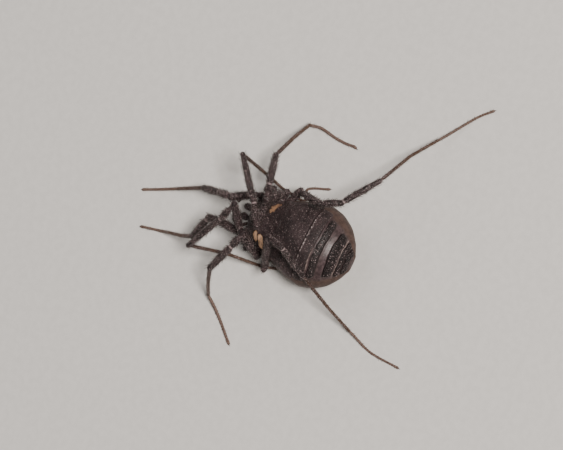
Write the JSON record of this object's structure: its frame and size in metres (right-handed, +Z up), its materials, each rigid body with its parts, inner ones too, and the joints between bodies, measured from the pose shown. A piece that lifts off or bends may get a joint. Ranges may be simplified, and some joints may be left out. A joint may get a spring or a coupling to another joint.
{
  "type": "harvestman model",
  "caption": "Life-size still model of a small black harvestman with a swollen ringed abdomen, standing with its knees drawn up over its back.",
  "frame": {"origin": "floor level, under the middle of the bounding box", "axes": "+Z up, the head faces -Y and the animal's right side is -X"},
  "size_m": [0.0074, 0.0076, 0.002],
  "materials": {
    "cuticle": "charcoal hard skin with a faint brown-mauve tint, fine pale grains and bristles",
    "abdomen": "charcoal granular plates, glossy mauve-grey and taupe skin between and beside them, two pale gold spots in front",
    "foot": "dark brown, finely ringed and thinly haired",
    "eye": "glossy black"
  },
  "bodies": {
    "root": {"prosoma": "cuticle", "abdomen": "abdomen", "eye_hill": "cuticle", "eye_right": "eye", "eye_left": "eye", "jaw_right": "cuticle", "jaw_left": "cuticle", "palp_right_upper": "cuticle", "palp_right_lower": "cuticle", "palp_left_upper": "cuticle", "palp_left_lower": "cuticle", "leg_r1_hip": "cuticle", "leg_r1_femur": "cuticle", "leg_r1_patella": "cuticle", "leg_r1_tibia": "cuticle", "leg_r1_metatarsus": "foot", "leg_r1_tarsus": "foot", "leg_r2_hip": "cuticle", "leg_r2_femur": "cuticle", "leg_r2_patella": "cuticle", "leg_r2_tibia": "cuticle", "leg_r2_metatarsus": "foot", "leg_r2_tarsus": "foot", "leg_r3_hip": "cuticle", "leg_r3_femur": "cuticle", "leg_r3_patella": "cuticle", "leg_r3_tibia": "cuticle", "leg_r3_metatarsus": "foot", "leg_r3_tarsus": "foot", "leg_r4_hip": "cuticle", "leg_r4_femur": "cuticle", "leg_r4_patella": "cuticle", "leg_r4_tibia": "cuticle", "leg_r4_metatarsus": "foot", "leg_r4_tarsus": "foot", "leg_l1_hip": "cuticle", "leg_l1_femur": "cuticle", "leg_l1_patella": "cuticle", "leg_l1_tibia": "cuticle", "leg_l1_metatarsus": "foot", "leg_l1_tarsus": "foot", "leg_l2_hip": "cuticle", "leg_l2_femur": "cuticle", "leg_l2_patella": "cuticle", "leg_l2_tibia": "cuticle", "leg_l2_metatarsus": "foot", "leg_l2_tarsus": "foot", "leg_l3_hip": "cuticle", "leg_l3_femur": "cuticle", "leg_l3_patella": "cuticle", "leg_l3_tibia": "cuticle", "leg_l3_metatarsus": "foot", "leg_l3_tarsus": "foot", "leg_l4_hip": "cuticle", "leg_l4_femur": "cuticle", "leg_l4_patella": "cuticle", "leg_l4_tibia": "cuticle", "leg_l4_metatarsus": "foot", "leg_l4_tarsus": "foot"}
  },
  "joints": []
}
